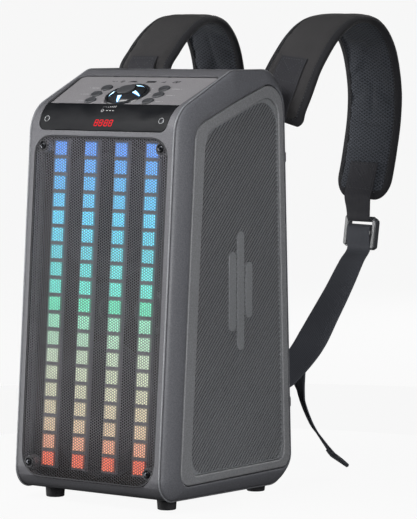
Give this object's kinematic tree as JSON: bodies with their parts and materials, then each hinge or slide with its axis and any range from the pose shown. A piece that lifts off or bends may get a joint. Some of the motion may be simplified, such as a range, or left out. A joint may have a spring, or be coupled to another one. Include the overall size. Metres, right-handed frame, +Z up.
{
  "type": "party speaker",
  "caption": "Tall portable party speaker with a leaning front grille over LED light bars, sloped control top with a round knob, ribbed side grilles and padded backpack straps.",
  "frame": {"origin": "centre of the bounding box in X and Y, on the plane of the four feet", "axes": "+Z up, -Y out of the front grille, +X to the right when seen from the front"},
  "size_m": [0.2833, 0.4211, 0.5422],
  "materials": {
    "cheek_plastic": "satin",
    "frame_plastic": "satin",
    "rib_plastic": "satin",
    "shell_plastic": "fine textured",
    "grille_steel": "powder coated, perforated",
    "screw_steel": "satin",
    "light_diffuser": "frosted diffuser, lit",
    "baffle_wood": "painted board",
    "driver_metal": "black",
    "cone_paper": "coated paper",
    "rubber": "matt",
    "panel_plastic": "satin",
    "circuit_board": "solder mask",
    "gloss_plastic": "gloss",
    "light_guide": "lit",
    "button_plastic": "satin",
    "battery_wrap": "shrink wrap",
    "strap_fabric": "woven nylon",
    "webbing": "woven webbing"
  },
  "bodies": {
    "cabinet": {"cabinet_band": "shell_plastic", "rear_cover": "shell_plastic", "carry_handle": "shell_plastic", "side_cheek_right": "cheek_plastic", "side_cheek_left": "cheek_plastic", "side_frame_right": "frame_plastic", "side_frame_left": "frame_plastic", "side_grille_right": "rib_plastic", "side_grille_left": "rib_plastic", "front_grille": "grille_steel", "grille_screw_top_left": "screw_steel", "grille_screw_top_right": "screw_steel", "grille_screw_bottom_left": "screw_steel", "grille_screw_bottom_right": "screw_steel", "light_bar_1": "light_diffuser", "light_bar_2": "light_diffuser", "light_bar_3": "light_diffuser", "light_bar_4": "light_diffuser", "baffle_board": "baffle_wood", "woofer_frame_lower": "driver_metal", "woofer_surround_lower": "rubber", "woofer_frame_upper": "driver_metal", "woofer_surround_upper": "rubber", "tweeter": "driver_metal", "bass_port": "shell_plastic", "control_panel": "panel_plastic", "control_board": "circuit_board", "display_strip": "gloss_plastic", "display_module": "circuit_board", "knob_ring": "gloss_plastic", "knob_light": "light_guide", "strip_screw_left": "screw_steel", "strip_screw_right": "screw_steel", "io_panel": "gloss_plastic", "amp_board": "circuit_board", "battery_pack": "battery_wrap", "foot_front_left": "rubber", "foot_front_right": "rubber", "foot_back_left": "rubber", "foot_back_right": "rubber", "strap_pad_right": "strap_fabric", "upper_webbing_right": "webbing", "buckle_webbing_right": "webbing", "buckle_right": "shell_plastic", "lower_webbing_right": "webbing", "strap_pad_left": "strap_fabric", "upper_webbing_left": "webbing", "buckle_webbing_left": "webbing", "buckle_left": "shell_plastic", "lower_webbing_left": "webbing"},
    "volume_knob": {"volume_knob": "gloss_plastic"},
    "power_cap": {"power_cap": "button_plastic"},
    "button_left_1": {"button_left_1": "button_plastic"},
    "button_left_2": {"button_left_2": "button_plastic"},
    "button_left_3": {"button_left_3": "button_plastic"},
    "button_right_1": {"button_right_1": "button_plastic"},
    "button_right_2": {"button_right_2": "button_plastic"},
    "button_right_3": {"button_right_3": "button_plastic"},
    "woofer_cone_lower": {"woofer_cone_lower": "cone_paper"},
    "woofer_cone_upper": {"woofer_cone_upper": "cone_paper"}
  },
  "joints": [
    {"name": "volume_turn", "type": "hinge", "parent": "cabinet", "child": "volume_knob", "pos_m": [0, -0.13522, 0.45178], "axis": [0, -0.4035, 0.915], "continuous": true},
    {"name": "power_press", "type": "slide", "parent": "volume_knob", "child": "power_cap", "axis": [0, 0.4035, -0.915], "range_m": [0, 0.0007], "stiffness_N_per_m": 500},
    {"name": "button_left_1_press", "type": "slide", "parent": "cabinet", "child": "button_left_1", "axis": [0, 0.4035, -0.915], "range_m": [0, 0.0012], "stiffness_N_per_m": 400},
    {"name": "button_left_2_press", "type": "slide", "parent": "cabinet", "child": "button_left_2", "axis": [0, 0.4035, -0.915], "range_m": [0, 0.0012], "stiffness_N_per_m": 400},
    {"name": "button_left_3_press", "type": "slide", "parent": "cabinet", "child": "button_left_3", "axis": [0, 0.4035, -0.915], "range_m": [0, 0.0012], "stiffness_N_per_m": 400},
    {"name": "button_right_1_press", "type": "slide", "parent": "cabinet", "child": "button_right_1", "axis": [0, 0.4035, -0.915], "range_m": [0, 0.0012], "stiffness_N_per_m": 400},
    {"name": "button_right_2_press", "type": "slide", "parent": "cabinet", "child": "button_right_2", "axis": [0, 0.4035, -0.915], "range_m": [0, 0.0012], "stiffness_N_per_m": 400},
    {"name": "button_right_3_press", "type": "slide", "parent": "cabinet", "child": "button_right_3", "axis": [0, 0.4035, -0.915], "range_m": [0, 0.0012], "stiffness_N_per_m": 400},
    {"name": "cone_lower_stroke", "type": "slide", "parent": "cabinet", "child": "woofer_cone_lower", "axis": [0, -0.9973, 0.0732], "range_m": [-0.004, 0.004], "stiffness_N_per_m": 1500},
    {"name": "cone_upper_stroke", "type": "slide", "parent": "cabinet", "child": "woofer_cone_upper", "axis": [0, -0.9973, 0.0732], "range_m": [-0.004, 0.004], "stiffness_N_per_m": 1500}
  ]
}
